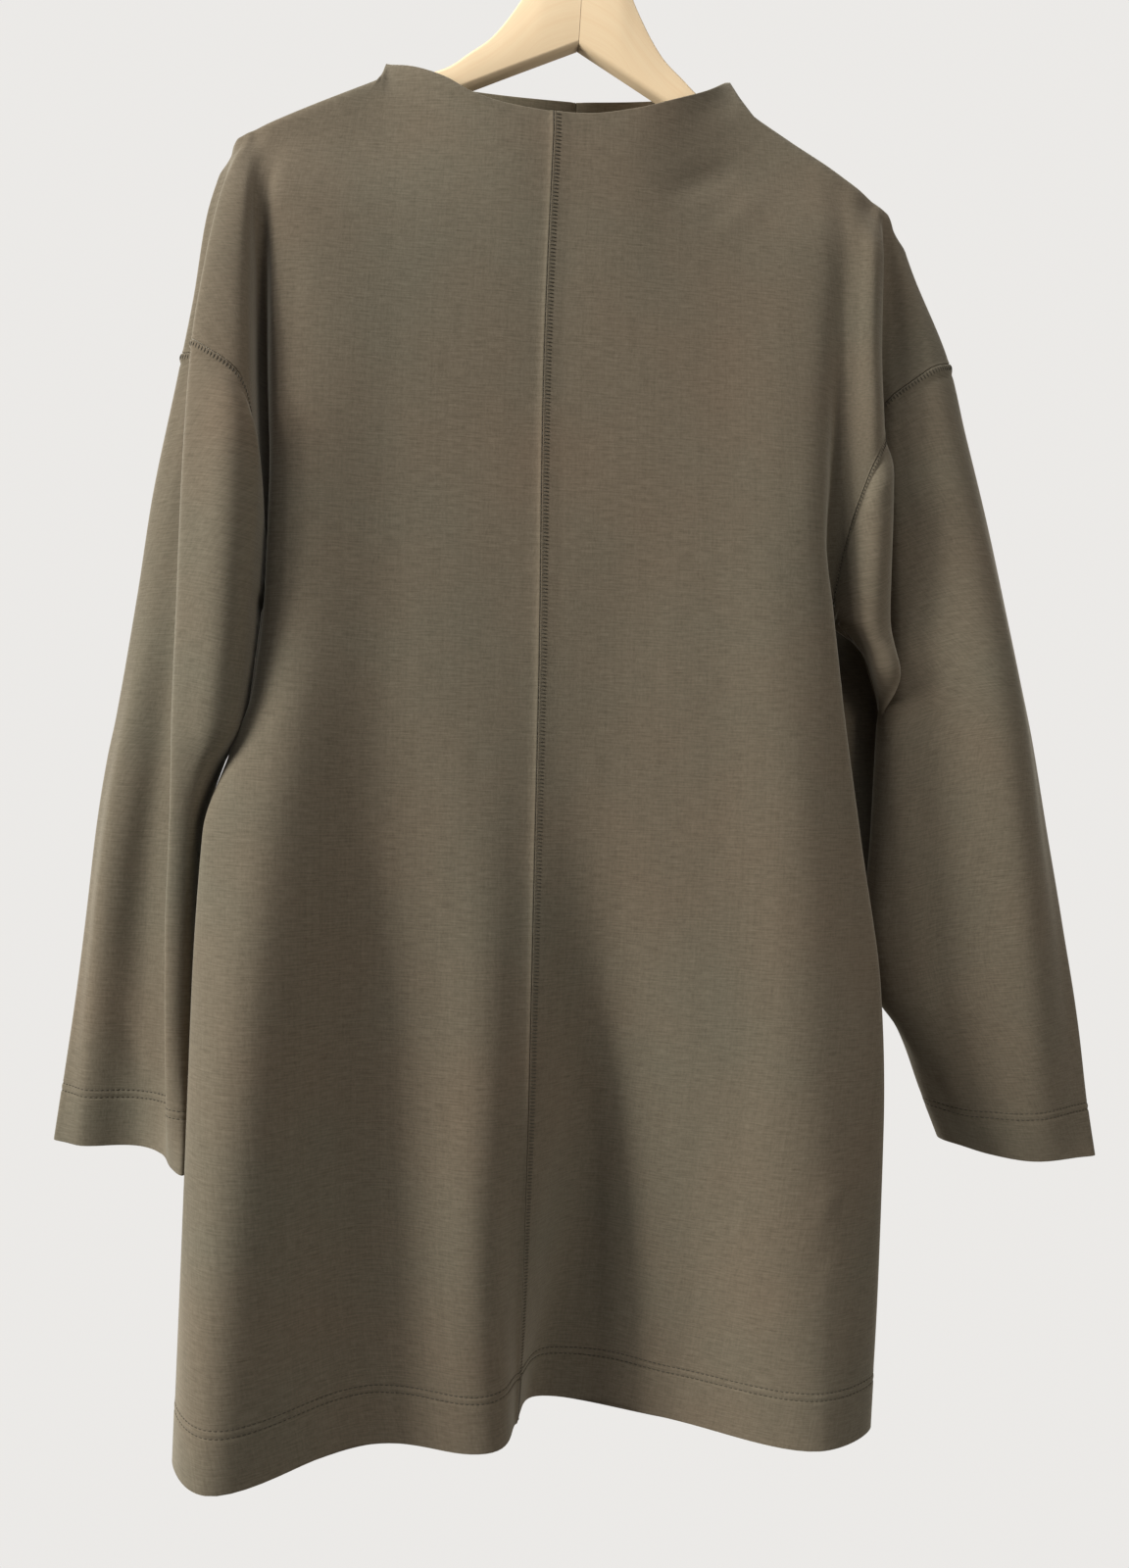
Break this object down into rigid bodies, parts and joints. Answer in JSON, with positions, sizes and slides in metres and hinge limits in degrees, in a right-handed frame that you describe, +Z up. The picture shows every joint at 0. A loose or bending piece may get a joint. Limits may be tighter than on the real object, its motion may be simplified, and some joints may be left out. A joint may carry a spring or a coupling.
{
  "type": "knit dress on a clothes hanger",
  "caption": "Long-sleeved knit dress with a funnel neck, dropped shoulders and wide hems, hanging on a plain wooden hanger with a steel hook.",
  "frame": {"origin": "the inside top of the hook, where it rests on its rail", "axes": "+Z up, +X to the viewer's right, -Y towards the viewer, out of the dress's front"},
  "size_m": [0.7386, 0.1291, 1.0556],
  "materials": {
    "knit": "matte, slightly napped double knit",
    "wood": "satin varnish",
    "steel": "bright wire"
  },
  "bodies": {
    "root": {"front_left": "knit", "front_right": "knit", "back_left": "knit", "back_right": "knit", "sleeve_front_left": "knit", "sleeve_front_right": "knit", "sleeve_back_left": "knit", "sleeve_back_right": "knit", "hanger_arm_left": "wood", "hanger_arm_right": "wood", "hanger_hook": "steel"}
  },
  "joints": []
}
